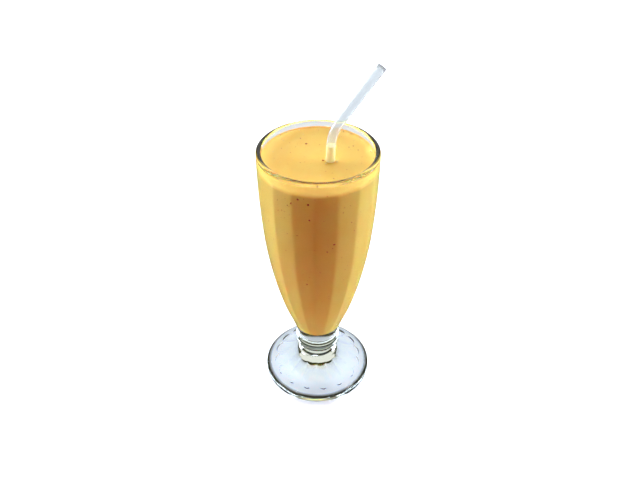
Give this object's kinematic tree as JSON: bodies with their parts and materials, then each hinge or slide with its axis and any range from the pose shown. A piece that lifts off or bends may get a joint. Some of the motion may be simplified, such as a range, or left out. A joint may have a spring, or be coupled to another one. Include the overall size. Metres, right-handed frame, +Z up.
{
  "type": "mango lassi in a footed soda glass",
  "caption": "Tall footed soda fountain glass with a fluted bowl, filled with thick yellow mango lassi, with a bent clear straw.",
  "frame": {"origin": "centre of the foot's underside, on the surface that the glass stands on", "axes": "+Z up along the glass, -Y towards the front; the straw's upper run leans towards +X"},
  "size_m": [0.0828, 0.0828, 0.2631],
  "materials": {
    "glass": "clear pressed glass",
    "lassi": "thick creamy drink, soft sheen",
    "straw": "clear thin plastic"
  },
  "bodies": {
    "root": {"glass": "glass", "lassi": "lassi", "straw": "straw"}
  },
  "joints": []
}
